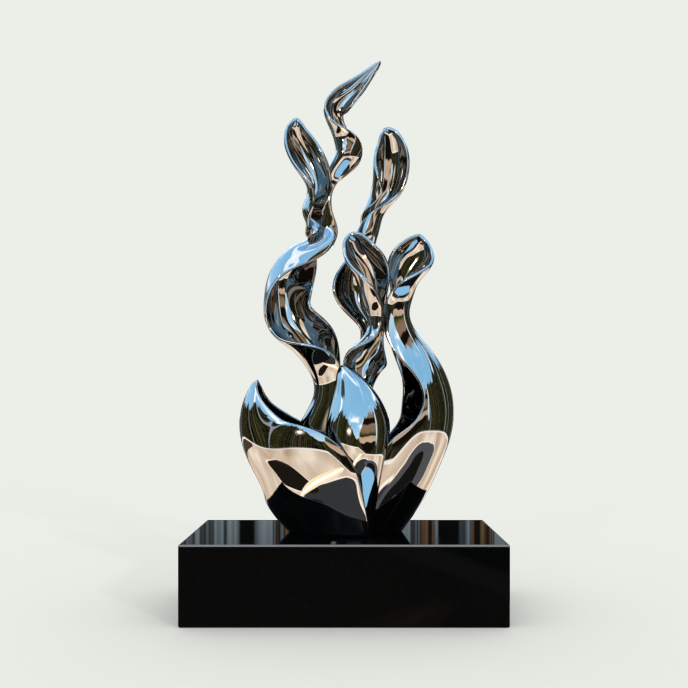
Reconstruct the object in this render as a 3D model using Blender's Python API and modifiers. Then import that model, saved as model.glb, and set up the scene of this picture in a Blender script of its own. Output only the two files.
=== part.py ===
"""Abstract flame of polished sheet metal, welded into one piece, on a low stone plinth.

Each tongue of the flame is a strip of sheet that is curled into a channel and carried up a bent
and twisted path. The strips run into each other low down, where they are one piece of metal, and
stand on the plinth on their cut edges. +X is right, +Y is away from the viewer, +Z is up, and the
origin is on the underside of the plinth, at its centre.
"""
import math

import bmesh
import bpy
import numpy as np
from mathutils import Vector

# Driving sizes, in metres
PLINTH_LENGTH = 0.400
PLINTH_DEPTH = 0.240
PLINTH_HEIGHT = 0.100
PLINTH_ARRIS = 0.002
FLAME_HEIGHT = 0.624
SHEET_THICKNESS = 0.0045
FOOT_PLATE_THICKNESS = 0.005
SEAT_GAP = 0.0003

# The tongues are drawn for a flame of this many units from the plinth to the topmost tip
DRAWN_HEIGHT = 624.0
UNIT = FLAME_HEIGHT / DRAWN_HEIGHT

# The foot plate that closes the bottom, as half lengths in drawn units, and its centre
FOOT_PLATE_HALF_LENGTH = 71.0
FOOT_PLATE_HALF_DEPTH = 44.0
FOOT_PLATE_CENTRE = (0.0, -1.0)
FOOT_PLATE_SIDES = 32

# How finely a strip is faceted: faces across it, and the units along its path, and the degrees
# that its surface swings round, which make a row of faces each
FACES_ACROSS = 8
ROW_LENGTH = 50.0
ROW_SWING = 30.0

# The path's direction at a place is read between the points this far behind and ahead, in units
DIRECTION_REACH = 12.0

# Finishes
STEEL_COLOUR = (0.78, 0.78, 0.77, 1.0)
STEEL_ROUGHNESS = 0.06
GRANITE_COLOUR = (0.012, 0.012, 0.013, 1.0)
GRANITE_ROUGHNESS = 0.08

# Each station of a tongue, in drawn units and degrees:
#   x, y, z      where the path passes, with z above the plinth
#   width        from the middle of the channel to its side
#   depth        from the middle of the channel to its back, less than 0 if it bulges the other way
#   turn         where the open side looks: 0 at the viewer, 90 to the right, 180 away
#   curl         how far the section runs round to each side: 90 is half an ellipse
TONGUES = {
    "tall_ribbon": [
        (-26, 10, -14, 26, 50, 84, 90),
        (-39, 8, 62, 34, 66, 86, 90),
        (-33, 2, 132, 28, 54, 88, 90),
        (-21, 0, 180, 25, 36, 94, 90),
        (-26, 0, 217, 26, 38, 88, 90),
        (-47, 2, 250, 28, 42, 38, 90),
        (-71, 8, 282, 30, 34, -2, 90),
        (-79, 10, 304, 30, 38, 12, 90),
        (-80, 8, 328, 29, 44, 36, 90),
        (-67, 6, 353, 27, 42, 62, 90),
        (-45, 2, 374, 26, 26, 104, 84),
        (-33, 0, 394, 20, 4, 164, 76),
        (-44, 0, 424, 11, -23, 228, 88),
        (-38, 0, 446, 12, -24, 215, 90),
        (-41, 2, 476, 18, -26, 190, 90),
        (-57, 6, 509, 19, -24, 180, 85),
        (-65, 8, 534, 13, -14, 180, 75),
        (-64, 8, 550, 4, -3, 180, 60),
    ],
    "top_ribbon": [
        (-24, -4, 382, 9, 3, 172, 70),
        (-21, 2, 398, 11, 4, 172, 70),
        (-24, 2, 422, 8, 4, 150, 70),
        (-23, 4, 444, 8, 5, 120, 70),
        (-16, 2, 473, 9, 12, 150, 90),
        (2, 0, 501, 15, 26, 155, 90),
        (-5, 0, 527, 13, 18, 84, 90),
        (-15, 0, 559, 15, 12, 34, 76),
        (2, 0, 577, 14, 14, 0, 85),
        (22, 0, 596, 9, 8, 0, 75),
        (48, 0, 623, 3, 1, 0, 60),
    ],
    "centre_leaf": [
        (28, 8, -14, 12, 12, 30, 90),
        (30, 4, 81, 12, 14, 30, 90),
        (26, 0, 148, 11, 12, 20, 90),
        (26, -8, 186, 8, 9, 10, 80),
        (24, -12, 220, 25, 24, 5, 90),
        (36, -10, 253, 21, 18, 68, 90),
        (41, -10, 288, 18, 20, 80, 90),
        (35, -12, 318, 21, 28, 62, 90),
        (30, -12, 345, 23, 28, 25, 90),
        (19, -12, 368, 20, 22, 5, 90),
        (12, -12, 382, 12, 12, 0, 80),
        (7, -12, 392, 5, 3, 0, 60),
    ],
    "back_flame": [
        (20, 20, -14, 12, -12, -180, 90),
        (18, 22, 120, 12, -13, -180, 90),
        (18, 22, 185, 9, -10, -180, 90),
        (31, 20, 242, 10, -12, -180, 90),
        (33, 22, 275, 12, -16, -180, 90),
        (19, 22, 301, 19, -24, -180, 90),
        (13, 22, 323, 27, -28, -180, 90),
        (14, 24, 342, 22, -20, -180, 85),
        (21, 26, 360, 18, -6, -180, 78),
        (26, 28, 378, 17, 6, -165, 78),
        (34, 31, 396, 15, 14, -122, 105),
        (40, 36, 413, 13, 13, -75, 130),
        (42, 40, 429, 12, 12, -20, 150),
        (45, 41, 442, 13, 12, 12, 150),
        (51, 40, 457, 17, 15, 28, 140),
        (60, 36, 482, 22, 22, 12, 100),
        (63, 36, 504, 22, 20, 4, 90),
        (62, 36, 527, 16, 12, 0, 80),
        (56, 36, 544, 5, 3, 0, 60),
    ],
    "right_tongue": [
        (31, 2, -20, 40, 56, -90, 90),
        (46, 2, 12, 44, 60, -90, 90),
        (67, 2, 54, 48, 72, -90, 90),
        (86, 2, 95, 50, 76, -90, 90),
        (107, 0, 129, 44, 62, -84, 90),
        (115, 0, 180, 32, 52, -68, 90),
        (100, 2, 222, 22, 44, -75, 90),
        (79, 4, 254, 18, 36, -93, 90),
        (70, 4, 291, 15, 29, -105, 90),
        (78, 4, 320, 18, 26, -80, 90),
        (88, 6, 351, 27, 24, -25, 90),
        (95, 8, 373, 23, 18, -5, 85),
        (101, 8, 394, 5, 3, 0, 60),
    ],
    "left_petal": [
        (-18, -4, -22, 48, 96, 90, 90),
        (-22, -4, 15, 56, 102, 90, 90),
        (-37, -4, 47, 64, 116, 92, 90),
        (-55, -6, 78, 66, 118, 92, 90),
        (-80, -6, 104, 60, 93, 90, 90),
        (-101, -4, 127, 46, 71, 84, 90),
        (-116, -2, 168, 24, 36, 80, 85),
        (-115, 0, 197, 5, 4, 76, 60),
    ],
    "middle_petal": [
        (21, -44, -12, 10, 6, 180, 90),
        (25, -50, 47, 15, 10, 180, 90),
        (22, -60, 98, 28, 18, 180, 90),
        (16, -54, 143, 39, 26, 178, 90),
        (10, -42, 177, 29, 20, 172, 85),
        (1, -32, 207, 12, 8, 170, 75),
        (-4, -26, 219, 5, 2, 170, 60),
    ],
    "back_petal": [
        (10, 40, -12, 14, 8, 0, 90),
        (4, 52, 40, 28, 16, 0, 90),
        (-4, 58, 84, 40, 24, 0, 90),
        (-2, 52, 120, 32, 20, 4, 85),
        (8, 44, 146, 14, 10, 8, 75),
        (13, 38, 158, 5, 2, 8, 60),
    ],
}


def natural_spline(knots, values, places):
    """Values read from the smooth curve through the given ones, straight at both ends.

    On each stretch it is the cubic whose second derivative runs evenly between the ends' values.
    """
    gaps = np.diff(knots)
    slopes = np.diff(values, axis=0) / gaps[:, None]
    system = np.eye(len(knots))
    inner = np.arange(1, len(knots) - 1)
    system[inner, inner - 1] = gaps[:-1]
    system[inner, inner] = 2 * (gaps[:-1] + gaps[1:])
    system[inner, inner + 1] = gaps[1:]
    right = np.zeros_like(values)
    right[inner] = 6 * np.diff(slopes, axis=0)
    bends = np.linalg.solve(system, right)
    stretch = np.clip(np.searchsorted(knots, places, side="right") - 1, 0, len(gaps) - 1)
    gap = gaps[stretch][:, None]
    before = (knots[stretch + 1] - places)[:, None] / gap
    after = 1 - before
    bend = (before**3 - before) * bends[stretch] + (after**3 - after) * bends[stretch + 1]
    return before * values[stretch] + after * values[stretch + 1] + bend * gap**2 / 6


def path_knots(stations):
    """The length along the path, station to station, at each station."""
    steps = np.linalg.norm(np.diff(stations[:, :3], axis=0), axis=1)
    return np.concatenate([[0.0], np.cumsum(steps)])


def channel_grid(stations, faces_across, places):
    """Points of a strip's middle surface, in drawn units, a row at each place on its path.

    A point is the path's own point, plus width times the sine of the curl angle along the
    direction across the strip, less depth times its cosine along the open side's direction.
    """
    knots = path_knots(stations)
    ahead = natural_spline(knots, stations, np.minimum(places + DIRECTION_REACH, knots[-1]))
    behind = natural_spline(knots, stations, np.maximum(places - DIRECTION_REACH, 0.0))
    tangent = unit(ahead[:, :3] - behind[:, :3])
    at_viewer = np.array([0.0, -1.0, 0.0])
    front = unit(at_viewer - tangent * (tangent @ at_viewer)[:, None])
    side = np.cross(tangent, front)
    values = natural_spline(knots, stations, places)
    width, depth, turn, curl = values[:, 3:].T[:, :, None]
    turn = np.radians(turn)
    facing = front * np.cos(turn) + side * np.sin(turn)
    across = side * np.cos(turn) - front * np.sin(turn)
    angle = np.radians(curl) * np.linspace(-1.0, 1.0, faces_across + 1)[None, :]
    out = (width * np.sin(angle))[:, :, None] * across[:, None, :]
    back = (depth * (0.5 - np.cos(angle)))[:, :, None] * facing[:, None, :]
    return values[:, None, :3] + out + back


def row_places(stations):
    """Places along the path for the rows, closer together where the strip twists or bends.

    Each short step counts for its length over ROW_LENGTH plus the largest angle that the
    surface swings round in it over ROW_SWING, and the rows split that total evenly.
    """
    fine = np.linspace(0.0, path_knots(stations)[-1], 400)
    points = channel_grid(stations, FACES_ACROSS, fine)
    normals = np.cross(np.gradient(points, axis=0), np.gradient(points, axis=1))
    normals /= np.linalg.norm(normals, axis=2, keepdims=True)
    cosines = np.sum(normals[1:] * normals[:-1], axis=2).min(axis=1)
    swing = np.degrees(np.arccos(np.clip(cosines, -1.0, 1.0)))
    share = np.diff(fine) / ROW_LENGTH + swing / ROW_SWING
    total = np.concatenate([[0.0], np.cumsum(share)])
    rows = max(4, math.ceil(total[-1]))
    return np.interp(np.linspace(0.0, total[-1], rows + 1), total, fine)


def unit(vectors):
    """The same directions with length 1."""
    return vectors / np.linalg.norm(vectors, axis=1)[:, None]


def new_object(name, mesh, collection):
    item = bpy.data.objects.new(name, mesh)
    collection.objects.link(item)
    return item


def strip_object(name, stations, collection):
    """A tongue: an open surface lofted between its unlike sections, thickened to the sheet."""
    stations = np.array(stations, float)
    points = channel_grid(stations, FACES_ACROSS, row_places(stations)) * UNIT
    points[..., 2] += PLINTH_HEIGHT
    rows, columns = points.shape[:2]
    surface = bmesh.new()
    corners = [[surface.verts.new(Vector(point)) for point in row] for row in points]
    for low, high in zip(corners, corners[1:]):
        for column in range(columns - 1):
            surface.faces.new((low[column], low[column + 1], high[column + 1], high[column]))
    mesh = bpy.data.meshes.new(name)
    surface.to_mesh(mesh)
    surface.free()
    item = new_object(name, mesh, collection)
    wall = item.modifiers.new("sheet", "SOLIDIFY")
    wall.thickness = SHEET_THICKNESS
    wall.offset = 0.0
    return item


def foot_plate(collection):
    """The flat oval plate inside the bottom of the flame, its underside at the seat."""
    shape = bmesh.new()
    bmesh.ops.create_cone(
        shape, cap_ends=True, segments=FOOT_PLATE_SIDES,
        radius1=1.0, radius2=1.0, depth=FOOT_PLATE_THICKNESS)
    size = Vector((FOOT_PLATE_HALF_LENGTH * UNIT, FOOT_PLATE_HALF_DEPTH * UNIT, 1.0))
    bmesh.ops.scale(shape, vec=size, verts=shape.verts)
    middle = PLINTH_HEIGHT + SEAT_GAP + FOOT_PLATE_THICKNESS / 2
    centre = Vector((FOOT_PLATE_CENTRE[0] * UNIT, FOOT_PLATE_CENTRE[1] * UNIT, middle))
    bmesh.ops.translate(shape, vec=centre, verts=shape.verts)
    mesh = bpy.data.meshes.new("foot_plate")
    shape.to_mesh(mesh)
    shape.free()
    return new_object("foot_plate", mesh, collection)


def box_object(name, size, centre, collection):
    shape = bmesh.new()
    bmesh.ops.create_cube(shape, size=1.0)
    bmesh.ops.scale(shape, vec=Vector(size), verts=shape.verts)
    bmesh.ops.translate(shape, vec=Vector(centre), verts=shape.verts)
    mesh = bpy.data.meshes.new(name)
    shape.to_mesh(mesh)
    shape.free()
    return new_object(name, mesh, collection)


def add_boolean(item, operation, other):
    step = item.modifiers.new(operation.lower() + "_" + other.name, "BOOLEAN")
    step.operation = operation
    step.solver = "EXACT"
    step.use_self = True
    step.object = other


def as_cutter(item):
    item.hide_render = True
    item.display_type = "WIRE"


def finish(name, colour, metallic, roughness):
    material = bpy.data.materials.new(name)
    material.use_nodes = True
    shader = material.node_tree.nodes["Principled BSDF"]
    shader.inputs["Base Color"].default_value = colour
    shader.inputs["Metallic"].default_value = metallic
    shader.inputs["Roughness"].default_value = roughness
    return material


def build_flame(parts, cutters):
    """All the tongues and the foot plate as one piece of metal, cut off flat at the seat."""
    names = list(TONGUES)
    flame = strip_object("flame", TONGUES[names[0]], parts)
    for name in names[1:]:
        strip = strip_object(name, TONGUES[name], cutters)
        as_cutter(strip)
        add_boolean(flame, "UNION", strip)
    plate = foot_plate(cutters)
    as_cutter(plate)
    add_boolean(flame, "UNION", plate)
    seat = PLINTH_HEIGHT + SEAT_GAP
    below = box_object(
        "below_seat", (2 * PLINTH_LENGTH, 2 * PLINTH_DEPTH, 2 * seat), (0.0, 0.0, 0.0), cutters)
    as_cutter(below)
    add_boolean(flame, "DIFFERENCE", below)
    flame.data.shade_smooth()
    flame.data.materials.append(finish("polished_steel", STEEL_COLOUR, 1.0, STEEL_ROUGHNESS))
    return flame


def build_plinth(parts):
    """The solid block of stone, with a small arris along each edge."""
    size = (PLINTH_LENGTH, PLINTH_DEPTH, PLINTH_HEIGHT)
    plinth = box_object("plinth", size, (0.0, 0.0, PLINTH_HEIGHT / 2), parts)
    arris = plinth.modifiers.new("arris", "BEVEL")
    arris.width = PLINTH_ARRIS
    arris.segments = 2
    arris.limit_method = "ANGLE"
    arris.angle_limit = math.radians(30)
    plinth.data.materials.append(finish("black_granite", GRANITE_COLOUR, 0.0, GRANITE_ROUGHNESS))
    return plinth


def main():
    for item in list(bpy.data.objects):
        bpy.data.objects.remove(item, do_unlink=True)
    parts = bpy.data.collections.new("flame_sculpture")
    cutters = bpy.data.collections.new("flame_joining")
    bpy.context.scene.collection.children.link(parts)
    bpy.context.scene.collection.children.link(cutters)
    build_flame(parts, cutters)
    build_plinth(parts)


main()
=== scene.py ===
"""Looks of an abstract flame of mirror-polished sheet metal on a low plinth of black stone.

The flame is drawn from stations like those of its solid, as closed walls of sheet with rounded
edges and tips. The stage is a pale floor with a soft shadow, and outdoor colours that only
reflections see.
"""
import math

import bpy
import numpy as np
from bpy.props import FloatProperty, FloatVectorProperty, PointerProperty
from bpy.types import Operator, Panel, PropertyGroup
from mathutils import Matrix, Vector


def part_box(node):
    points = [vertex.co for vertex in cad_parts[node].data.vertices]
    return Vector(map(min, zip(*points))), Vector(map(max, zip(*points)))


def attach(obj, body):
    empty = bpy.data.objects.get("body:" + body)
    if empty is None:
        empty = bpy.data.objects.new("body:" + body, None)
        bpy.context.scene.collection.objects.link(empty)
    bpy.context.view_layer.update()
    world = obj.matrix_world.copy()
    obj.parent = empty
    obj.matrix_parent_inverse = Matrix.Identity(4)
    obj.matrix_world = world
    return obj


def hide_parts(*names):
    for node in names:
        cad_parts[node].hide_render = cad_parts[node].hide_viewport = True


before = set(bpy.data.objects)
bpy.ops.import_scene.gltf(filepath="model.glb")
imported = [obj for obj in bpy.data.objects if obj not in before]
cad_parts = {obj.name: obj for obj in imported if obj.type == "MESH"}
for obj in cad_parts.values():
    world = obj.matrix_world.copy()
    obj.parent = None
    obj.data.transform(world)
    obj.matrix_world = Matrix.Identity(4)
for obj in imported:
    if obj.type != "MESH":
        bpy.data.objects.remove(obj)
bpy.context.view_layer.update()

bl_info = {
    "name": "Polished Flame Sculpture",
    "version": (1, 0, 0),
    "blender": (4, 5, 0),
    "location": "3D View > Sidebar > Flame",
    "description": "Builds a mirror-polished metal flame on a stone plinth, and its stage",
    "category": "Add Mesh",
}

# What the frame gives, in metres
PLINTH_LOW, PLINTH_HIGH = (np.array(corner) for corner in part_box("plinth"))
PLINTH_TOP = float(PLINTH_HIGH[2])
SEAT = float(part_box("flame")[0][2])

# The tongues are drawn in millimetres above the plinth
MM = 0.001

# Each station of a tongue:
#   x, y, z      where the path passes, with z above the plinth
#   width        from the middle of the channel to its side
#   depth        from the middle of the channel to its back, less than 0 if it bulges the other way
#   turn         where the open side looks, in degrees: 0 at the viewer, 90 to the right, 180 away
#   curl         how far the section runs round to each side: 90 is half an ellipse
TONGUES = {
    "tall_ribbon": [
        (-26, 10, -14, 26, 50, 84, 90),
        (-39, 8, 62, 34, 66, 86, 90),
        (-33, 2, 132, 28, 54, 88, 90),
        (-21, 0, 180, 25, 36, 94, 90),
        (-26, 0, 217, 26, 38, 88, 90),
        (-47, 2, 250, 28, 42, 38, 90),
        (-71, 8, 282, 30, 34, -2, 90),
        (-79, 10, 304, 30, 38, 12, 90),
        (-80, 8, 328, 29, 44, 36, 90),
        (-67, 6, 353, 27, 42, 62, 90),
        (-45, 2, 374, 26, 26, 104, 84),
        (-33, 0, 394, 20, 4, 164, 76),
        (-44, 0, 424, 11, -23, 228, 88),
        (-38, 0, 446, 12, -24, 215, 90),
        (-41, 2, 476, 18, -26, 190, 90),
        (-57, 6, 509, 19, -24, 180, 85),
        (-65, 8, 534, 13, -14, 180, 75),
        (-64, 8, 551, 5, -4, 180, 60),
    ],
    "top_ribbon": [
        (-24, -4, 382, 9, 3, 172, 70),
        (-21, 2, 398, 11, 4, 172, 70),
        (-24, 2, 422, 8, 4, 150, 70),
        (-23, 4, 444, 8, 5, 120, 70),
        (-16, 2, 473, 9, 12, 150, 90),
        (2, 0, 501, 15, 26, 155, 90),
        (-5, 0, 527, 13, 18, 84, 90),
        (-15, 0, 559, 15, 12, 34, 76),
        (2, 0, 577, 14, 14, 0, 85),
        (22, 0, 596, 9, 8, 0, 75),
        (48, 0, 624, 1.2, 0.6, 0, 60),
    ],
    "centre_leaf": [
        (28, 8, -14, 12, 12, 30, 90),
        (30, 4, 81, 12, 14, 30, 90),
        (26, 0, 148, 11, 12, 20, 90),
        (26, -8, 186, 8, 9, 10, 80),
        (24, -12, 220, 25, 24, 5, 90),
        (36, -10, 253, 21, 18, 68, 90),
        (41, -10, 288, 18, 20, 80, 90),
        (35, -12, 318, 21, 28, 62, 90),
        (30, -12, 345, 23, 28, 25, 90),
        (19, -12, 368, 20, 22, 5, 90),
        (13, -12, 382, 15, 13, 0, 80),
        (7, -12, 394, 9, 6, 0, 70),
    ],
    "back_flame": [
        (20, 20, -14, 12, -12, -180, 90),
        (18, 22, 120, 12, -13, -180, 90),
        (18, 22, 185, 9, -10, -180, 90),
        (31, 20, 242, 10, -12, -180, 90),
        (33, 22, 275, 12, -16, -180, 90),
        (19, 22, 301, 19, -24, -180, 90),
        (13, 22, 323, 27, -28, -180, 90),
        (14, 24, 342, 22, -20, -180, 85),
        (21, 26, 360, 18, -6, -180, 78),
        (26, 28, 378, 17, 6, -165, 78),
        (34, 31, 396, 15, 14, -122, 105),
        (40, 36, 413, 13, 13, -75, 130),
        (42, 40, 429, 12, 12, -20, 150),
        (45, 41, 442, 13, 12, 12, 150),
        (51, 40, 457, 17, 15, 28, 140),
        (60, 36, 482, 22, 22, 12, 100),
        (63, 36, 504, 22, 20, 4, 90),
        (62, 36, 527, 16, 12, 0, 80),
        (56, 36, 546, 7, 4, 0, 65),
    ],
    "right_tongue": [
        (31, 2, -20, 40, 56, -90, 90),
        (46, 2, 12, 44, 60, -90, 90),
        (67, 2, 54, 48, 72, -90, 90),
        (86, 2, 95, 50, 76, -90, 90),
        (107, 0, 129, 44, 62, -84, 90),
        (115, 0, 180, 32, 52, -68, 90),
        (100, 2, 222, 22, 44, -75, 90),
        (79, 4, 254, 18, 36, -93, 90),
        (70, 4, 291, 15, 29, -105, 90),
        (78, 4, 320, 18, 26, -80, 90),
        (88, 6, 351, 27, 24, -25, 90),
        (95, 8, 373, 23, 18, -5, 85),
        (100, 8, 396, 5, 3, 0, 65),
    ],
    "left_petal": [
        (-18, -4, -22, 48, 96, 90, 90),
        (-22, -4, 15, 56, 102, 90, 90),
        (-37, -4, 47, 64, 116, 92, 90),
        (-55, -6, 78, 66, 118, 92, 90),
        (-80, -6, 104, 60, 93, 90, 90),
        (-101, -4, 127, 46, 71, 84, 90),
        (-116, -2, 168, 24, 36, 80, 85),
        (-115, 0, 201, 7, 5, 76, 60),
    ],
    "middle_petal": [
        (21, -44, -12, 10, 6, 180, 90),
        (25, -50, 47, 15, 10, 180, 90),
        (22, -60, 98, 28, 18, 180, 90),
        (16, -54, 143, 39, 26, 178, 90),
        (10, -42, 177, 29, 20, 172, 85),
        (1, -32, 207, 12, 8, 170, 75),
        (-4, -26, 219, 5, 2, 170, 60),
    ],
    "back_petal": [
        (10, 40, -12, 14, 8, 0, 90),
        (4, 52, 40, 28, 16, 0, 90),
        (-4, 58, 84, 40, 24, 0, 90),
        (-2, 52, 120, 32, 20, 4, 85),
        (8, 44, 146, 14, 10, 8, 75),
        (13, 38, 158, 5, 2, 8, 60),
    ],
}

# The oval plate inside the bottom of the flame, in millimetres, with the share of its half sizes
# that the rounding of its edge takes
FOOT_PLATE_HALF_LENGTH = 71.0
FOOT_PLATE_HALF_DEPTH = 44.0
FOOT_PLATE_CENTRE = (0.0, -1.0)
FOOT_PLATE_THICKNESS = 5.0
FOOT_PLATE_ROUND = 0.03
FOOT_PLATE_SIDES = 96
FOOT_PLATE_EDGE_ROWS = 7

# The path's direction at a place is read between the points this far behind and ahead, in mm
DIRECTION_REACH = 12.0

# Each tongue's outline is rounded off like half an ellipse over this much of its path, in mm, and
# the rounding stops at this share of it, so that the last row keeps some width
TIP_LENGTH = 10.0
TIP_LEAST = 0.02

# The slope along the stone's edges, how far in from the sides its colour starts, which is a hair
# before the slope does, and how softly, in metres
ARRIS = 0.002
ARRIS_REACH = 0.00204
ARRIS_BLUR = 0.0003

# How finely the sheet is drawn: mm between rows, columns across, rows round an edge, rows on a
# tip with the angles that space them, and how many places find where a column meets the seat
ROW_STEP = 4.0
COLUMNS = 29
EDGE_STEPS = 4
TIP_ROWS = 9
TIP_ANGLES = (80.0, 8.0)
SEAT_TRIALS = 800

# Scales of the patterns on steel and stone, per metre, and the height of the steel's waves
STEEL_PATCHES = 9.0
STONE_PATCHES = 14.0
STONE_CRYSTALS = 900.0
WAVE_HEIGHT = 0.0004
HONED_ROUGHNESS = 0.4

# The camera, in metres and pixels of a square photograph
PHOTO_SIZE = 688
VANISHING_PIXEL = (350.0, 397.0)
FOCAL_PIXELS = 981.0
SENSOR_WIDTH = 36.0
CAMERA_PLACE = (0.0072, -1.302, 0.2783)

# Where the key light stands, seen from the object: ahead on the right, and fairly low
KEY_BEARING = math.radians(31)
KEY_HEIGHT = math.radians(22)
KEY_DISTANCE = 4.0
KEY_SIZE = 0.3

# Half the width of the floor, in metres
FLOOR_REACH = 12.0

# What reflections see lies on a map of directions in degrees: the bearing is 0 towards the viewer
# and grows to the right, and the rise is the height above level

# A small bright glint, with the cosines of the angles from its middle where its halo and its
# disc begin and are full
GLINT_BEARING = -27.0
GLINT_RISE = 15.0
GLINT_HALO = (0.990, 1.0)
GLINT_DISC = (0.9988, 0.9996)

# Outlines as (bearing, rise) stops, and the rises that an outline may have
TREE_TOPS = (
    (-180, 10), (-120, 17), (-88, 24), (-60, 40), (-40, 35), (-22, 22), (-8, 9), (3, 14),
    (14, 35), (60, 44), (100, 42), (125, 28), (180, 10))
HORIZON = ((-180, -9), (-120, -6), (-5, -5), (15, -12), (120, -13), (180, -9))
LOWEST = -20.0
TALLEST = 60.0

# The wall behind starts between two bearings on either side and ends between two rises
WALL_SIDES = (146.0, 154.0)
WALL_EAVES = (17.0, 16.4)

# Everything below these rises is the dark underfoot
UNDERFOOT = (-35.5, -36.5)

# Ovals in the sky and the trees: middle, half sizes and lean
CLOUD_BAND = ((-60.0, 58.0), (75.0, 4.0), 0.0)
CLOUD_BEAM = ((-72.0, 34.0), (2.6, 15.0), 0.4)
CANOPY = ((24.0, 19.0), (29.0, 30.0), 0.0)
TREE_GAP = ((52.0, 22.0), (3.0, 20.0), 0.8)

# What lies on the paving, from the lowest to the topmost: middle, half sizes and lean of its oval,
# whether its outline is ragged, and its colour
LIGHT_EDGE = (1.7, 1.5, 1.3, 1.0)
ON_PAVING = {
    "edge of the dark pool": ((-50.0, -24.0), (30.6, 6.2), -0.75, True, LIGHT_EDGE),
    "edge of the slate": ((-10.0, -31.0), (31.2, 7.7), 1.4, True, LIGHT_EDGE),
    "edge of the grey": ((47.0, -25.5), (37.2, 6.3), -0.25, True, LIGHT_EDGE),
    "slate": ((-10.0, -31.0), (30.0, 7.0), 1.4, True, (0.055, 0.058, 0.062, 1.0)),
    "dark pool": ((-50.0, -24.0), (29.0, 5.6), -0.75, True, (0.020, 0.014, 0.010, 1.0)),
    "grey": ((47.0, -25.5), (36.0, 5.8), -0.25, True, (0.13, 0.13, 0.14, 1.0)),
    "black in the grey": ((41.0, -26.0), (20.0, 3.8), -0.25, True, (0.012, 0.011, 0.011, 1.0)),
    "shade on the left": ((-124.0, -9.0), (30.0, 5.0), 0.3, True, (0.10, 0.07, 0.05, 1.0)),
    "glow of the streak": ((-17.0, -23.4), (23.0, 2.6), 4.4, False, (1.9, 1.35, 0.90, 1.0)),
    "sunny streak": ((-17.0, -23.4), (22.0, 0.9), 12.6, False, (2.6, 2.2, 1.8, 1.0)),
    "blue pond": ((40.0, -41.0), (48.0, 13.0), -0.2, True, (0.40, 0.86, 1.32, 1.0)),
}


class FlameSizes(PropertyGroup):
    """Sizes of the sheet metal."""

    sheet: FloatProperty(
        name="Sheet thickness", description="Thickness of the sheet that the tongues are made of",
        default=0.0045, min=0.001, max=0.01, unit="LENGTH", precision=4)
    edge_round: FloatProperty(
        name="Edge rounding", description="How far the cut edges stand out from the sheet's rim",
        default=0.0016, min=0.0002, max=0.004, unit="LENGTH", precision=4)


class SteelLook(PropertyGroup):
    """The polished steel."""

    colour: FloatVectorProperty(
        name="Steel", description="Colour of the polished steel's reflections",
        subtype="COLOR", size=4, min=0, max=1, default=(0.60, 0.595, 0.58, 1.0))
    smudge: FloatVectorProperty(
        name="Smudged steel", description="Colour of the steel where it has been handled",
        subtype="COLOR", size=4, min=0, max=1, default=(0.53, 0.52, 0.50, 1.0))
    roughness: FloatProperty(
        name="Roughness", description="Roughness of the cleanest polish",
        subtype="FACTOR", default=0.015, min=0, max=1)
    haze: FloatProperty(
        name="Haze", description="Roughness of the haziest patches",
        subtype="FACTOR", default=0.06, min=0, max=1)


class StoneLook(PropertyGroup):
    """The polished stone."""

    colour: FloatVectorProperty(
        name="Stone", description="Colour of the black stone",
        subtype="COLOR", size=4, min=0, max=1, default=(0.0016, 0.0018, 0.0019, 1.0))
    fleck: FloatVectorProperty(
        name="Flecks", description="Colour of the crystals in the stone",
        subtype="COLOR", size=4, min=0, max=1, default=(0.0045, 0.0047, 0.005, 1.0))
    # The arris colour is partly the honed stone's own grey and partly a painted highlight along the
    # top edge
    arris: FloatVectorProperty(
        name="Arris", description="Colour of the honed arris round the top of the stone",
        subtype="COLOR", size=4, min=0, max=1, default=(0.21, 0.22, 0.23, 1.0))
    roughness: FloatProperty(
        name="Roughness", description="Roughness of the polished stone",
        subtype="FACTOR", default=0.02, min=0, max=1)


class StageLook(PropertyGroup):
    """The floor and the light."""

    backdrop: FloatVectorProperty(
        name="Backdrop", description="Colour that the camera sees behind the object",
        subtype="COLOR", size=4, min=0, max=1, default=(0.84, 0.86, 0.81, 1.0))
    floor: FloatVectorProperty(
        name="Floor", description="Colour of the floor",
        subtype="COLOR", size=4, min=0, max=1, default=(0.84, 0.86, 0.81, 1.0))
    # Painted shade: how far reflections of reflections are darkened inside the curls
    shade: FloatProperty(
        name="Inner shade", description="How dark the second reflection inside a curl is",
        subtype="FACTOR", default=0.62, min=0, max=1)
    key_power: FloatProperty(
        name="Key light", description="Power of the lamp that casts the shadow",
        unit="POWER", default=26.0, min=0, max=1000)


def natural_spline(knots, values, places):
    """Values read from the smooth curve through the given ones, straight at both ends.

    On each stretch it is the cubic whose second derivative runs evenly between the ends' values.
    """
    gaps = np.diff(knots)
    slopes = np.diff(values, axis=0) / gaps[:, None]
    system = np.eye(len(knots))
    inner = np.arange(1, len(knots) - 1)
    system[inner, inner - 1] = gaps[:-1]
    system[inner, inner] = 2 * (gaps[:-1] + gaps[1:])
    system[inner, inner + 1] = gaps[1:]
    right = np.zeros_like(values)
    right[inner] = 6 * np.diff(slopes, axis=0)
    bends = np.linalg.solve(system, right)
    stretch = np.clip(np.searchsorted(knots, places, side="right") - 1, 0, len(gaps) - 1)
    gap = gaps[stretch][..., None]
    before = (knots[stretch + 1] - places)[..., None] / gap
    after = 1 - before
    bend = (before**3 - before) * bends[stretch] + (after**3 - after) * bends[stretch + 1]
    return before * values[stretch] + after * values[stretch + 1] + bend * gap**2 / 6


def unit(vectors):
    """The same directions with length 1."""
    return vectors / np.maximum(np.linalg.norm(vectors, axis=-1, keepdims=True), 1e-9)


def tip_taper(left):
    """Share of the full section that a tongue keeps where this much of its path is left.

    It is the height of a quarter ellipse, from nearly 0 at the end to 1 at TIP_LENGTH and beyond.
    """
    share = np.clip(left / TIP_LENGTH, TIP_LEAST, 1.0)
    return np.sqrt(1.0 - (1.0 - share)**2)


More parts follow.
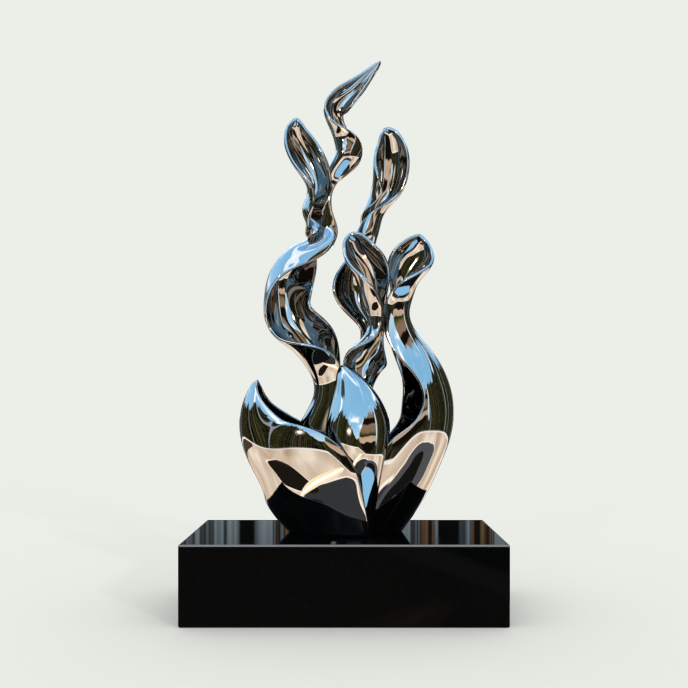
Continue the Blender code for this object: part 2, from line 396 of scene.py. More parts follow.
def channel_grid(stations, places, end):
    """Points of a strip's middle surface for an array of places along its path, row by column.

    A point is the path's own point, plus width times the sine of the curl angle along the
    direction across the strip, plus depth times a half less the angle's cosine along the open
    side's direction. Near the strip's end both are tapered.
    """
    steps = np.linalg.norm(np.diff(stations[:, :3], axis=0), axis=1)
    knots = np.concatenate([[0.0], np.cumsum(steps)])
    ahead = natural_spline(knots, stations, np.minimum(places + DIRECTION_REACH, knots[-1]))
    behind = natural_spline(knots, stations, np.maximum(places - DIRECTION_REACH, 0.0))
    tangent = unit(ahead[..., :3] - behind[..., :3])
    at_viewer = np.array([0.0, -1.0, 0.0])
    front = unit(at_viewer - tangent * (tangent @ at_viewer)[..., None])
    side = np.cross(tangent, front)
    values = natural_spline(knots, stations, places)
    width, depth, turn, curl = np.moveaxis(values[..., 3:], -1, 0)[..., None]
    turn = np.radians(turn)
    facing = front * np.cos(turn) + side * np.sin(turn)
    across = side * np.cos(turn) - front * np.sin(turn)
    angle = np.radians(curl) * np.linspace(-1.0, 1.0, places.shape[1])[None, :, None]
    section = width * np.sin(angle) * across + depth * (0.5 - np.cos(angle)) * facing
    return values[..., :3] + tip_taper(end - places)[..., None] * section


def path_length(stations):
    """The sum of the straight steps between the stations."""
    return float(np.linalg.norm(np.diff(stations[:, :3], axis=0), axis=1).sum())


def seated_places(stations, seat, end):
    """Places along the path, row by column, that start each column just below the seat.

    Each column's start is read where its height crosses the seat. The rows from there to the
    shoulder of the tip are evenly spaced, and the tip's rows are spaced as the cosine of an angle.
    """
    shoulder = end - TIP_LENGTH
    rows = int(shoulder / ROW_STEP)
    even = np.linspace(0.0, 1.0, rows + 1)[:, None]
    trial = np.repeat(np.linspace(0.0, end, SEAT_TRIALS)[:, None], COLUMNS, axis=1)
    heights = channel_grid(stations, trial, end)[..., 2]
    above = np.argmax(heights > seat, axis=0)
    start = np.where(above > 0, trial[np.maximum(above - 1, 0), 0] - 1.0, 0.0)
    body = start[None, :] * (1 - even) + shoulder * even
    bend = np.radians(np.linspace(*TIP_ANGLES, TIP_ROWS))[:, None]
    tip = shoulder + TIP_LENGTH * np.cos(bend) * np.ones(COLUMNS)
    return np.concatenate([body, tip])


def sheet_wall(points, half, edge, slim):
    """The two sides of a closed wall of sheet round a middle surface, with rounded rims.

    Each side is the middle surface moved half a thickness along its normal. Past the rims the
    move shrinks with the cosine of an angle from 0 to 90 degrees while the surface goes out by
    the rounding times its sine, so both sides meet in a half-round edge. Sideways the rounding
    is slimmer at the tip, by a share for each row.
    """
    down_rows = np.gradient(points, axis=0)
    down_columns = np.gradient(points, axis=1)
    normals = unit(np.cross(down_columns, down_rows))
    turn = np.radians(np.linspace(0.0, 90.0, EDGE_STEPS + 1))[1:]
    out = -np.sin(turn[::-1])
    rows, columns = points.shape[:2]
    row_index = np.clip(np.arange(-EDGE_STEPS, rows + EDGE_STEPS), 0, rows - 1)
    column_index = np.clip(np.arange(-EDGE_STEPS, columns + EDGE_STEPS), 0, columns - 1)
    shrink = np.cos(turn)

    def stretched(count):
        """The share of the lift, and of the rounding, for each row or column."""
        middle = np.ones(count)
        return (np.concatenate([shrink[::-1], middle, shrink]),
                np.concatenate([out, np.zeros(count), np.sin(turn)]))

    row_scale, row_out = stretched(rows)
    column_scale, column_out = stretched(columns)
    pick = np.ix_(row_index, column_index)
    base = points[pick]
    along = unit(down_rows)[pick]
    across = unit(down_columns)[pick]
    sideways = edge * slim[row_index][:, None, None] * column_out[None, :, None]
    base = base + along * row_out[:, None, None] * edge + across * sideways
    lift = normals[pick] * (row_scale[:, None] * column_scale[None, :])[..., None] * half
    return base + lift, base - lift


def wall_faces(rows, columns):
    """Quads of two grids that share their border.

    The front grid is numbered row by row. The back grid uses the same numbers on its border and
    new ones inside it, and its quads run the other way round.
    """
    front = np.arange(rows * columns).reshape(rows, columns)
    back = front.copy()
    inner = np.arange((rows - 2) * (columns - 2)).reshape(rows - 2, columns - 2)
    back[1:-1, 1:-1] = rows * columns + inner
    quads = []
    for grid, order in ((front, (0, 1, 2, 3)), (back, (3, 2, 1, 0))):
        corners = np.stack([grid[:-1, :-1], grid[:-1, 1:], grid[1:, 1:], grid[1:, :-1]], axis=-1)
        quads.append(corners.reshape(-1, 4)[:, list(order)])
    return np.concatenate(quads)


def tongue_mesh(stations, sizes):
    """Vertices and quads of one tongue's closed wall, in metres."""
    stations = np.array(stations, float)
    seat = (SEAT - PLINTH_TOP) / MM
    edge = sizes.edge_round / MM
    end = path_length(stations) - edge
    places = seated_places(stations, seat, end)
    points = channel_grid(stations, places, end)
    slim = tip_taper(end - places[:, 0])
    front, back = sheet_wall(points, sizes.sheet / MM / 2, edge, slim)
    quads = wall_faces(*front.shape[:2])
    vertices = np.concatenate([front.reshape(-1, 3), back[1:-1, 1:-1].reshape(-1, 3)]) * MM
    vertices[:, 2] = np.maximum(vertices[:, 2] + PLINTH_TOP, SEAT)
    return vertices, quads


def foot_plate_mesh():
    """The oval plate: a turned profile from its top's centre round its edge to its underside.

    Each ring is the profile's radius share times the half sizes along the cosine and sine of the
    angle, and the two centres are single vertices.
    """
    corner = np.radians(np.linspace(90.0, -90.0, FOOT_PLATE_EDGE_ROWS))
    half = FOOT_PLATE_THICKNESS / 2
    share = np.concatenate([[0.35, 0.7], 1 - FOOT_PLATE_ROUND * (1 - np.cos(corner)), [0.7, 0.35]])
    height = np.concatenate([[half, half], half * np.sin(corner), [-half, -half]])
    angle = np.linspace(0.0, 2 * np.pi, FOOT_PLATE_SIDES, endpoint=False)
    rings = np.empty((len(share), len(angle), 3))
    rings[..., 0] = FOOT_PLATE_CENTRE[0] + FOOT_PLATE_HALF_LENGTH * share[:, None] * np.cos(angle)
    rings[..., 1] = FOOT_PLATE_CENTRE[1] + FOOT_PLATE_HALF_DEPTH * share[:, None] * np.sin(angle)
    rings[..., 2] = half + height[:, None]
    centres = np.array([[*FOOT_PLATE_CENTRE, 2 * half], [*FOOT_PLATE_CENTRE, 0.0]])
    vertices = np.concatenate([rings.reshape(-1, 3), centres]) * MM
    vertices[:, 2] += SEAT
    grid = np.arange(rings.shape[0] * rings.shape[1]).reshape(rings.shape[:2])
    after = np.roll(grid, -1, axis=1)
    quads = np.stack([grid[:-1], grid[1:], after[1:], after[:-1]], axis=-1).reshape(-1, 4)
    top, under = grid.size, grid.size + 1
    fan_top = np.stack([np.full(len(angle), top), grid[0], after[0]], axis=-1)
    fan_under = np.stack([np.full(len(angle), under), after[-1], grid[-1]], axis=-1)
    return vertices, [*quads.tolist(), *fan_top.tolist(), *fan_under.tolist()]


def new_piece(name, vertices, faces, material):
    """A smoothly shaded object at the origin with the given mesh and material."""
    mesh = bpy.data.meshes.new(name)
    mesh.from_pydata(vertices.tolist(), [], faces)
    mesh.update()
    mesh.shade_smooth()
    mesh.materials.append(material)
    piece = bpy.data.objects.new(name, mesh)
    bpy.context.scene.collection.objects.link(piece)
    return piece


def add(tree, kind, place, **settings):
    """A new node at a place on the tree's sheet, with its settings."""
    node = tree.nodes.new(kind)
    node.location = place
    for key, value in settings.items():
        setattr(node, key, value)
    return node


def put(tree, socket, value):
    """Links an output to a socket, or sets the socket to a plain value."""
    if isinstance(value, bpy.types.NodeSocket):
        tree.links.new(value, socket)
    else:
        socket.default_value = value


def calculate(tree, operation, place, *values):
    """The result of a math operation on outputs or plain numbers."""
    node = add(tree, "ShaderNodeMath", place, operation=operation)
    for socket, value in zip(node.inputs, values):
        put(tree, socket, value)
    return node.outputs[0]


def ramp(tree, place, value, stops):
    """A colour ramp read at the value, from (position, colour) stops."""
    node = add(tree, "ShaderNodeValToRGB", place)
    put(tree, node.inputs["Fac"], value)
    elements = node.color_ramp.elements
    while len(elements) < len(stops):
        elements.new(0.5)
    for element, (position, colour) in zip(elements, stops):
        element.position = position
        element.color = (*colour[:3], 1.0)
    return node.outputs["Color"]


def blend_colour(tree, place, amount, first, second):
    """The first colour where the amount is 0, and the second where it is 1."""
    node = add(tree, "ShaderNodeMix", place, data_type="RGBA")
    put(tree, node.inputs[0], amount)
    put(tree, node.inputs[6], first)
    put(tree, node.inputs[7], second)
    return node.outputs[2]


def remap(tree, place, value, low, high, to_low=0.0, to_high=1.0):
    """The value carried from one range to another along a smooth step, and held at its ends."""
    node = add(tree, "ShaderNodeMapRange", place, interpolation_type="SMOOTHSTEP")
    for socket, number in zip(node.inputs, (value, low, high, to_low, to_high)):
        put(tree, socket, number)
    return node.outputs[0]


def remap_plainly(tree, place, value, low, high, to_low, to_high):
    """The value carried from one range to another in proportion, and held at its ends."""
    node = add(tree, "ShaderNodeMapRange", place)
    for socket, number in zip(node.inputs, (value, low, high, to_low, to_high)):
        put(tree, socket, number)
    return node.outputs[0]


def noise(tree, place, spot, scale, detail=2.0, roughness=0.5, dimensions="3D"):
    """Noise read at a spot, which is a vector or, in one dimension, a number."""
    node = add(tree, "ShaderNodeTexNoise", place, noise_dimensions=dimensions)
    put(tree, node.inputs["W" if dimensions == "1D" else "Vector"], spot)
    node.inputs["Scale"].default_value = scale
    node.inputs["Detail"].default_value = detail
    node.inputs["Roughness"].default_value = roughness
    return node.outputs["Fac"]


def group(name, inputs, outputs):
    """A new shader node group with the named float and vector sockets, and its two ends."""
    tree = bpy.data.node_groups.new(name, "ShaderNodeTree")
    for socket, kind, default in inputs:
        item = tree.interface.new_socket(socket, in_out="INPUT", socket_type=kind)
        if default is not None:
            item.default_value = default
    for socket, kind in outputs:
        tree.interface.new_socket(socket, in_out="OUTPUT", socket_type=kind)
    return tree, add(tree, "NodeGroupInput", (-900, 0)), add(tree, "NodeGroupOutput", (600, 0))


def polish_marks_group():
    """Masks of a hand-polished surface: hazy patches, and the fine waves left by shaping."""
    tree, given, result = group(
        "polish_marks",
        [("Vector", "NodeSocketVector", None), ("Patch Scale", "NodeSocketFloat", STEEL_PATCHES)],
        [("Haze", "NodeSocketFloat"), ("Waves", "NodeSocketFloat")])
    patches = add(tree, "ShaderNodeTexNoise", (-600, 100))
    patches.inputs["Detail"].default_value = 4.0
    tree.links.new(given.outputs["Vector"], patches.inputs["Vector"])
    tree.links.new(given.outputs["Patch Scale"], patches.inputs["Scale"])
    haze = remap(tree, (-300, 100), patches.outputs["Fac"], 0.42, 0.72)
    tree.links.new(haze, result.inputs["Haze"])
    waves = noise(tree, (-600, -200), given.outputs["Vector"], 14.0, 1.5, 0.45)
    tree.links.new(waves, result.inputs["Waves"])
    return tree


def marks_group():
    """The polish marks' node group, made the first time it is asked for."""
    return bpy.data.node_groups.get("polish_marks") or polish_marks_group()


def place_group(tree, inner, place, **values):
    """A node of the inner group, with inputs set by their names in lower case."""
    node = add(tree, "ShaderNodeGroup", place, node_tree=inner)
    for key, value in values.items():
        put(tree, node.inputs[key.replace("_", " ").title()], value)
    return node


def new_material(name):
    """A material with its tree, its shader and its Object coordinates."""
    material = bpy.data.materials.new(name)
    material.use_nodes = True
    tree = material.node_tree
    shader = tree.nodes["Principled BSDF"]
    coordinates = add(tree, "ShaderNodeTexCoord", (-1400, 0))
    return material, tree, shader, coordinates.outputs["Object"]


def bump(tree, shader, place, height, distance):
    """Feeds the shader a normal bent by a height, where a height of 1 stands for the distance."""
    node = add(tree, "ShaderNodeBump", place)
    node.inputs["Distance"].default_value = distance
    put(tree, node.inputs["Height"], height)
    put(tree, shader.inputs["Normal"], node.outputs["Normal"])


def polished_steel(look, marks):
    """Mirror steel: hazy patches tint and roughen it a little, and slow waves bend reflections."""
    material, tree, shader, place = new_material("polished_steel")
    shader.inputs["Metallic"].default_value = 1.0
    masks = place_group(tree, marks, (-1000, 0), vector=place, patch_scale=STEEL_PATCHES)
    haze = masks.outputs["Haze"]
    tint = blend_colour(tree, (-500, 200), haze, tuple(look.colour), tuple(look.smudge))
    put(tree, shader.inputs["Base Color"], tint)
    rough = remap(tree, (-500, 0), haze, 0.0, 1.0, look.roughness, look.haze)
    put(tree, shader.inputs["Roughness"], rough)
    bump(tree, shader, (-300, -300), masks.outputs["Waves"], WAVE_HEIGHT)
    return material


def arris_mask(tree, place):
    """1 on the narrow slope round the top of the block: high up, and past either side's edge."""
    parts = add(tree, "ShaderNodeSeparateXYZ", (-1200, 700))
    put(tree, parts.inputs[0], place)
    size = (PLINTH_HIGH - PLINTH_LOW) / 2
    inside = [float(half) - ARRIS_REACH for half in size[:2]]
    past_end = remap(tree, (-800, 800), calculate(
        tree, "ABSOLUTE", (-1000, 800), parts.outputs[0]), inside[0], inside[0] + ARRIS_BLUR)
    past_front = remap(tree, (-800, 650), calculate(
        tree, "ABSOLUTE", (-1000, 650), parts.outputs[1]), inside[1], inside[1] + ARRIS_BLUR)
    past = calculate(tree, "MAXIMUM", (-600, 700), past_end, past_front)
    foot = PLINTH_TOP - ARRIS
    high = remap(tree, (-800, 500), parts.outputs[2], foot - ARRIS_BLUR, foot)
    return calculate(tree, "MULTIPLY", (-400, 650), past, high)


def black_granite(look, marks):
    """Polished black stone with faint crystals, hazy patches in its polish and a honed arris, whose
    light grey is partly the honed stone's own tone and partly a painted highlight along the edge.
    """
    material, tree, shader, place = new_material("black_granite")
    crystals = add(tree, "ShaderNodeTexVoronoi", (-1000, 300))
    crystals.inputs["Scale"].default_value = STONE_CRYSTALS
    put(tree, crystals.inputs["Vector"], place)
    parts = add(tree, "ShaderNodeSeparateColor", (-800, 300))
    put(tree, parts.inputs[0], crystals.outputs["Color"])
    fleck = remap(tree, (-600, 300), parts.outputs[0], 0.86, 1.0)
    colour = blend_colour(tree, (-400, 300), fleck, tuple(look.colour), tuple(look.fleck))
    arris = arris_mask(tree, place)
    # Painted highlight: the arris mask lays a light grey along the top edge, partly honed tone and
    # partly painted light
    colour = blend_colour(tree, (-200, 300), arris, colour, tuple(look.arris))
    put(tree, shader.inputs["Base Color"], colour)
    masks = place_group(tree, marks, (-1000, -100), vector=place, patch_scale=STONE_PATCHES)
    polish = remap(
        tree, (-500, -100), masks.outputs["Haze"], 0.0, 1.0, look.roughness, look.roughness + 0.03)
    rough = remap(tree, (-300, -100), arris, 0.0, 1.0, polish, HONED_ROUGHNESS)
    put(tree, shader.inputs["Roughness"], rough)
    shader.inputs["Specular IOR Level"].default_value = 0.02
    return material


def floor_material(look):
    """Matt pale floor with a trace of unevenness in its tone."""
    material, tree, shader, place = new_material("pale_floor")
    tone = noise(tree, (-800, 100), place, 3.0, 2.0)
    shade = remap(tree, (-600, 100), tone, 0.3, 0.7)
    darker = tuple(channel * 0.985 for channel in look.floor[:3]) + (1.0,)
    colour = blend_colour(tree, (-400, 100), shade, tuple(look.floor), darker)
    put(tree, shader.inputs["Base Color"], colour)
    shader.inputs["Roughness"].default_value = 0.9
    shader.inputs["Specular IOR Level"].default_value = 0.1
    return material


def outline(tree, place, bearing, stops):
    """The rise of an outline at a bearing, from (bearing, rise) stops.

    The ramp holds values from 0 to 1, so rises are stored as shares of TALLEST above LOWEST.
    """
    share = remap_plainly(tree, place, bearing, -180.0, 180.0, 0.0, 1.0)
    shades = [((turn + 180) / 360, (rise - LOWEST) / (TALLEST - LOWEST)) for turn, rise in stops]
    grey = ramp(tree, place, share, [(position, (shade,) * 3) for position, shade in shades])
    return remap_plainly(tree, place, grey, 0.0, 1.0, LOWEST, TALLEST)


def oval(tree, place, bearing, rise, middle, half, lean, ragged=None):
    """1 inside an oval on the map of directions, with its middle and half sizes in degrees.

    A lean shifts its middle up by so many half heights for each half width to the right, and a
    ragged value moves its outline in and out.
    """
    across = calculate(tree, "DIVIDE", place, calculate(
        tree, "SUBTRACT", place, bearing, middle[0]), half[0])
    height = calculate(tree, "DIVIDE", place, calculate(
        tree, "SUBTRACT", place, rise, middle[1]), half[1])
    leaning = calculate(tree, "SUBTRACT", place, height, calculate(
        tree, "MULTIPLY", place, across, lean))
    reach = calculate(tree, "ADD", place, calculate(
        tree, "MULTIPLY", place, across, across), calculate(
        tree, "MULTIPLY", place, leaning, leaning))
    if ragged is not None:
        reach = calculate(tree, "ADD", place, reach, ragged)
    return remap(tree, place, reach, 1.05, 0.95)


def sky_colours(tree, direction, bearing, rise):
    """Blue that deepens with height, with soft clouds and two long bright ones on the left."""
    blue = ramp(tree, (-1300, 500), remap_plainly(tree, (-1500, 500), rise, 0.0, 90.0, 0.0, 1.0), [
        (0.0, (1.05, 1.28, 1.42)), (0.25, (0.46, 0.90, 1.34)), (0.60, (0.36, 0.80, 1.26)),
        (0.85, (0.22, 0.58, 1.04))])
    stretched = add(tree, "ShaderNodeMapping", (-1500, 700))
    stretched.inputs["Scale"].default_value = (1.0, 1.0, 2.2)
    put(tree, stretched.inputs["Vector"], direction)
    cloud_noise = noise(tree, (-1300, 800), stretched.outputs[0], 1.7, 4.0, 0.5)
    cloud = remap(tree, (-1100, 800), cloud_noise, 0.53, 0.72)
    band = oval(tree, (-1100, 1000), bearing, rise, *CLOUD_BAND)
    beam = oval(tree, (-1100, 1100), bearing, rise, *CLOUD_BEAM)
    white = calculate(tree, "MAXIMUM", (-900, 800), cloud, calculate(
        tree, "MAXIMUM", (-900, 1000), beam, calculate(
            tree, "MULTIPLY", (-900, 1100), band, 0.55)))
    return blend_colour(tree, (-700, 600), white, blue, (2.1, 2.12, 2.1, 1.0))


def tree_colours(tree, direction, bearing):
    """Dark foliage with upright streaks: black gaps, olive leaves, brown trunks, bits of sky."""
    streaks = noise(tree, (-1300, -200), bearing, 0.14, 4.0, 0.7, "1D")
    upright = ramp(tree, (-1000, -200), streaks, [
        (0.34, (0.003, 0.003, 0.002)), (0.44, (0.085, 0.095, 0.030)), (0.49, (0.004, 0.003, 0.002)),
        (0.55, (0.004, 0.003, 0.002)), (0.58, (0.22, 0.14, 0.09)), (0.61, (0.008, 0.006, 0.004)),
        (0.65, (0.03, 0.03, 0.018)), (0.69, (0.70, 0.85, 0.95))])
    leaves = noise(tree, (-1300, 0), direction, 15.0, 3.0, 0.65)
    foliage = ramp(tree, (-1000, 0), leaves, [
        (0.46, (0.004, 0.004, 0.002)), (0.60, (0.070, 0.078, 0.024)), (0.74, (0.28, 0.28, 0.13))])
    return blend_colour(tree, (-700, -100), 0.25, upright, foliage)


def canopy_colours(tree, rise, drift):
    """Long level bands ahead on the right: tan under-sides between dark gaps, and an olive one."""
    height = calculate(tree, "ADD", (-1300, -400), rise, drift)
    share = remap_plainly(tree, (-1200, -400), height, 0.0, 45.0, 0.0, 1.0)
    return ramp(tree, (-1000, -400), share, [
        (0.02, (0.010, 0.008, 0.006)), (0.05, (0.95, 0.68, 0.48)), (0.20, (0.80, 0.55, 0.37)),
        (0.23, (0.012, 0.010, 0.006)), (0.30, (0.110, 0.120, 0.036)), (0.36, (0.35, 0.22, 0.13)),
        (0.56, (0.42, 0.27, 0.17)), (0.60, (0.010, 0.008, 0.006)), (0.74, (0.008, 0.006, 0.005)),
        (0.78, (0.40, 0.25, 0.15)), (0.88, (0.46, 0.30, 0.19))])


def wall_colours(tree, bearing):
    """Upright stripes of dark openings, blue-grey glass and brown piers."""
    stripes = noise(tree, (-1300, -600), bearing, 0.52, 2.0, 0.6, "1D")
    return ramp(tree, (-1000, -800), stripes, [
        (0.36, (0.008, 0.007, 0.006)), (0.42, (0.30, 0.38, 0.43)), (0.50, (0.52, 0.62, 0.68)),
        (0.53, (0.05, 0.05, 0.05)), (0.58, (0.34, 0.40, 0.44)), (0.61, (0.012, 0.010, 0.009)),
        (0.66, (0.40, 0.24, 0.13)), (0.70, (0.02, 0.015, 0.012))])


def ground_colours(tree, direction, bearing, rise, drift):
    """Sunlit warm paving with patches of shade, a sunny streak and a blue pond, and dark underfoot.

    The dark underfoot doesn't cover the pond, which is the topmost patch.
    """
    paving_noise = noise(tree, (-900, -1200), direction, 3.0, 2.0, 0.45)
    colour = ramp(tree, (-700, -1200), paving_noise, [
        (0.35, (0.80, 0.59, 0.42)), (0.5, (1.12, 0.88, 0.68)), (0.66, (1.42, 1.22, 1.04))])
    ragged = calculate(tree, "MULTIPLY", (-900, -900), drift, 0.10)
    for row, (middle, half, lean, is_ragged, shade) in enumerate(ON_PAVING.values()):
        low = -1000 - 100 * row
        mask = oval(
            tree, (-500, low), bearing, rise, middle, half, lean, ragged if is_ragged else None)
        colour = blend_colour(tree, (-300, low), mask, colour, shade)
    pond = mask
    near = calculate(tree, "ADD", (-700, -2200), rise, ragged)
    underfoot = calculate(tree, "MULTIPLY", (-300, -2200), remap(
        tree, (-500, -2200), near, *UNDERFOOT), calculate(
        tree, "SUBTRACT", (-300, -2300), 1.0, pond))
    return blend_colour(tree, (-100, -1000), underfoot, colour, (0.010, 0.009, 0.009, 1.0))


def toward(bearing, height):
    """The direction at a bearing right of straight ahead and a height above level, in radians."""
    return (
        math.cos(height) * math.sin(bearing), -math.cos(height) * math.cos(bearing), math.sin(height))


def glint(tree, direction, seen):
    """What is seen, with a small bright disc and a warm halo for the sparkle on the rims."""
    cosine = add(tree, "ShaderNodeVectorMath", (-900, 1000), operation="DOT_PRODUCT")
    put(tree, cosine.inputs[0], direction)
    cosine.inputs[1].default_value = toward(math.radians(GLINT_BEARING), math.radians(GLINT_RISE))
    halo = remap(tree, (-700, 1200), cosine.outputs["Value"], *GLINT_HALO, 0.0, 0.4)
    haloed = blend_colour(tree, (-500, 1100), halo, seen, (2.6, 2.0, 1.5, 1.0))
    disc = remap(tree, (-700, 1000), cosine.outputs["Value"], *GLINT_DISC)
    return blend_colour(tree, (-300, 1000), disc, haloed, (26.0, 23.0, 18.0, 1.0))


def outdoor_colours(tree, direction):
    """Colour of the surroundings by direction: ground, trees, a canopy, a wall, sky and clouds.

    The bearing is the angle whose tangent is the part to the right over the part towards the
    viewer, and the rise is the angle whose sine is the upward part.
    """
    parts = add(tree, "ShaderNodeSeparateXYZ", (-2200, 0))
    put(tree, parts.inputs[0], direction)
    east, north, up = parts.outputs
    ahead = calculate(tree, "MULTIPLY", (-2000, 100), north, -1.0)
    bearing = calculate(tree, "DEGREES", (-1600, 200), calculate(
        tree, "ARCTAN2", (-1800, 200), east, ahead))
    rise = calculate(tree, "DEGREES", (-1600, 0), calculate(tree, "ARCSINE", (-1800, 0), up))
    slow = noise(tree, (-1800, -200), direction, 2.2, 1.5, 0.4)
    drift = remap_plainly(tree, (-1600, -200), slow, 0.3, 0.7, -3.0, 3.0)
    sky = sky_colours(tree, direction, bearing, rise)
    spikes = noise(tree, (-1300, 200), bearing, 0.05, 5.0, 0.65, "1D")
    tree_top = calculate(tree, "ADD", (-1100, 300), outline(
        tree, (-1300, 300), bearing, TREE_TOPS), remap(
        tree, (-1100, 200), spikes, 0.36, 0.66, -4.0, 4.0))
    tree_mask = remap(tree, (-700, 100), calculate(
        tree, "SUBTRACT", (-900, 200), tree_top, rise), 0.0, 1.2)
    colour = blend_colour(
        tree, (-500, 300), tree_mask, sky, tree_colours(tree, direction, bearing))
    in_canopy = oval(tree, (-900, -300), bearing, rise, *CANOPY)
    canopy_mask = calculate(tree, "MULTIPLY", (-700, -300), in_canopy, tree_mask)
    colour = blend_colour(
        tree, (-400, 300), canopy_mask, colour, canopy_colours(tree, rise, drift))
    gap = oval(tree, (-700, -400), bearing, rise, *TREE_GAP)
    colour = blend_colour(tree, (-350, 300), gap, colour, (1.0, 1.25, 1.4, 1.0))
    behind = remap(tree, (-900, -500), calculate(
        tree, "ABSOLUTE", (-1100, -500), bearing), *WALL_SIDES)
    below_eaves = remap(tree, (-900, -600), rise, *WALL_EAVES)
    wall_mask = calculate(tree, "MULTIPLY", (-700, -500), behind, below_eaves)
    colour = blend_colour(tree, (-300, 300), wall_mask, colour, wall_colours(tree, bearing))
    below = calculate(tree, "SUBTRACT", (-700, -700), outline(
        tree, (-900, -700), bearing, HORIZON), rise)
    colour = blend_colour(tree, (-200, 300), remap(
        tree, (-500, -700), below, 0.0, 0.4), colour, (1.5, 1.4, 1.3, 1.0))
    ground = ground_colours(tree, direction, bearing, rise, drift)
    colour = blend_colour(tree, (-100, 300), remap(
        tree, (-500, -800), below, 1.1, 1.6), colour, ground)
    return glint(tree, direction, colour)


def build_world(look):
    """Pale for the camera, soft white for diffuse light, and outdoor colours for reflections.

    A reflection of a reflection sees darker surroundings, a painted shade that keeps the insides of
    the curls deep.
    """
    world = bpy.data.worlds.new("soft_surroundings")
    world.use_nodes = True
    bpy.context.scene.world = world
    tree = world.node_tree
    tree.nodes.clear()
    direction = add(tree, "ShaderNodeTexCoord", (-2000, 0)).outputs["Generated"]
    path = add(tree, "ShaderNodeLightPath", (0, 600))
    # Painted shade: surroundings seen after a second bounce are blended towards near black
    painted_inner_shade = remap(tree, (0, 200), path.outputs["Glossy Depth"], 1.0, 2.0, 0.0, look.shade)
    seen = blend_colour(
        tree, (0, 300), painted_inner_shade, outdoor_colours(tree, direction), (0.010, 0.008, 0.006, 1.0))
    plain = blend_colour(
        tree, (100, 300), path.outputs["Is Diffuse Ray"], seen, (0.9, 0.9, 0.9, 1.0))
    colour = blend_colour(
        tree, (300, 300), path.outputs["Is Camera Ray"], plain, tuple(look.backdrop))
    background = add(tree, "ShaderNodeBackground", (500, 300))
    put(tree, background.inputs["Color"], colour)
    output = add(tree, "ShaderNodeOutputWorld", (700, 300))
    put(tree, output.inputs["Surface"], background.outputs[0])


def build_floor(look):
    """A wide pale floor that the metal's reflections don't see."""
    corners = FLOOR_REACH * np.array([(-1, -1, 0), (1, -1, 0), (1, 1, 0), (-1, 1, 0)])
    floor = new_piece("floor", corners, [(0, 1, 2, 3)], floor_material(look))
    floor.visible_glossy = False
    floor.is_shadow_catcher = True


def build_key_light(look):
    """A disc lamp that casts the faint shadow, and that reflections don't see."""
    light = bpy.data.lights.new("key_light", "AREA")
    light.shape = "DISK"
    light.size = KEY_SIZE
    light.energy = look.key_power
    lamp = bpy.data.objects.new("key_light", light)
    bpy.context.scene.collection.objects.link(lamp)
    lamp.location = [KEY_DISTANCE * step for step in toward(KEY_BEARING, KEY_HEIGHT)]
    lamp.rotation_euler = (math.radians(90) - KEY_HEIGHT, 0.0, KEY_BEARING)
    lamp.visible_glossy = False


def build_camera():
    """The photograph's camera: level, looking along +Y, with the frame shifted to suit."""
    data = bpy.data.cameras.new("camera")
    data.sensor_fit = "HORIZONTAL"
    data.sensor_width = SENSOR_WIDTH
    data.lens = SENSOR_WIDTH * FOCAL_PIXELS / PHOTO_SIZE
    data.shift_x = (PHOTO_SIZE / 2 - VANISHING_PIXEL[0]) / PHOTO_SIZE
    data.shift_y = (VANISHING_PIXEL[1] - PHOTO_SIZE / 2) / PHOTO_SIZE
    data.dof.use_dof = False
    camera = bpy.data.objects.new("camera", data)
    bpy.context.scene.collection.objects.link(camera)
    camera.location = CAMERA_PLACE
    camera.rotation_euler = (math.radians(90), 0.0, 0.0)
    bpy.context.scene.camera = camera


class FLAME_OT_set_stage(Operator):
    """Set up the floor, the soft light, the surroundings and the camera"""

    bl_idname = "flame.set_stage"
    bl_label = "Set Stage"

    def execute(self, context):
        look = context.scene.stage_look
        context.scene.view_settings.view_transform = "Standard"
        build_world(look)
        build_floor(look)
        build_key_light(look)
        build_camera()
        return {"FINISHED"}


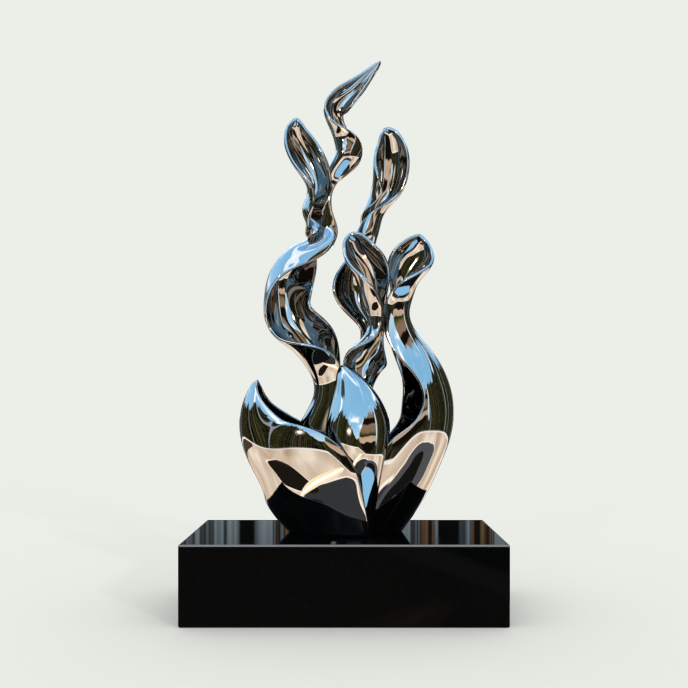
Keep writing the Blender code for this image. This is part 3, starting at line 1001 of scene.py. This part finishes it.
class FLAME_OT_raise_tongues(Operator):
    """Build the polished metal flame from its tongues"""

    bl_idname = "flame.raise_tongues"
    bl_label = "Raise Tongues"

    def execute(self, context):
        sizes = context.scene.flame_sizes
        steel = polished_steel(context.scene.steel_look, marks_group())
        vertices = []
        faces = []
        count = 0
        for stations in TONGUES.values():
            places, quads = tongue_mesh(stations, sizes)
            vertices.append(places)
            faces.extend((quads + count).tolist())
            count += len(places)
        plate, plate_faces = foot_plate_mesh()
        vertices.append(plate)
        faces.extend([[number + count for number in face] for face in plate_faces])
        flame = new_piece("polished_flame", np.concatenate(vertices), faces, steel)
        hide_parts("flame")
        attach(flame, "root")
        return {"FINISHED"}


class FLAME_OT_polish_plinth(Operator):
    """Give the plinth its polished stone"""

    bl_idname = "flame.polish_plinth"
    bl_label = "Polish Plinth"

    def execute(self, context):
        stone = black_granite(context.scene.stone_look, marks_group())
        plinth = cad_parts["plinth"]
        for slot in plinth.material_slots:
            slot.material = stone
        return {"FINISHED"}


class FLAME_PT_sidebar(Panel):
    """Sizes, colours and buttons of the flame"""

    bl_idname = "FLAME_PT_sidebar"
    bl_label = "Polished Flame"
    bl_space_type = "VIEW_3D"
    bl_region_type = "UI"
    bl_category = "Flame"

    def draw(self, context):
        layout = self.layout
        for key in GROUPS:
            settings = getattr(context.scene, key)
            column = layout.column(align=True)
            for name in settings.bl_rna.properties.keys():
                if name not in ("rna_type", "name"):
                    column.prop(settings, name)
        for operator in OPERATORS:
            layout.operator(operator.bl_idname)


GROUPS = {
    "flame_sizes": FlameSizes,
    "steel_look": SteelLook,
    "stone_look": StoneLook,
    "stage_look": StageLook,
}
OPERATORS = (FLAME_OT_set_stage, FLAME_OT_polish_plinth, FLAME_OT_raise_tongues)


def register():
    for key, kind in GROUPS.items():
        bpy.utils.register_class(kind)
        setattr(bpy.types.Scene, key, PointerProperty(type=kind))
    for kind in (*OPERATORS, FLAME_PT_sidebar):
        bpy.utils.register_class(kind)


def unregister():
    for kind in (FLAME_PT_sidebar, *reversed(OPERATORS)):
        bpy.utils.unregister_class(kind)
    for key, kind in reversed(list(GROUPS.items())):
        delattr(bpy.types.Scene, key)
        bpy.utils.unregister_class(kind)


def main():
    register()
    bpy.ops.flame.set_stage()
    bpy.ops.flame.polish_plinth()
    bpy.ops.flame.raise_tongues()


if __name__ == "__main__":
    main()
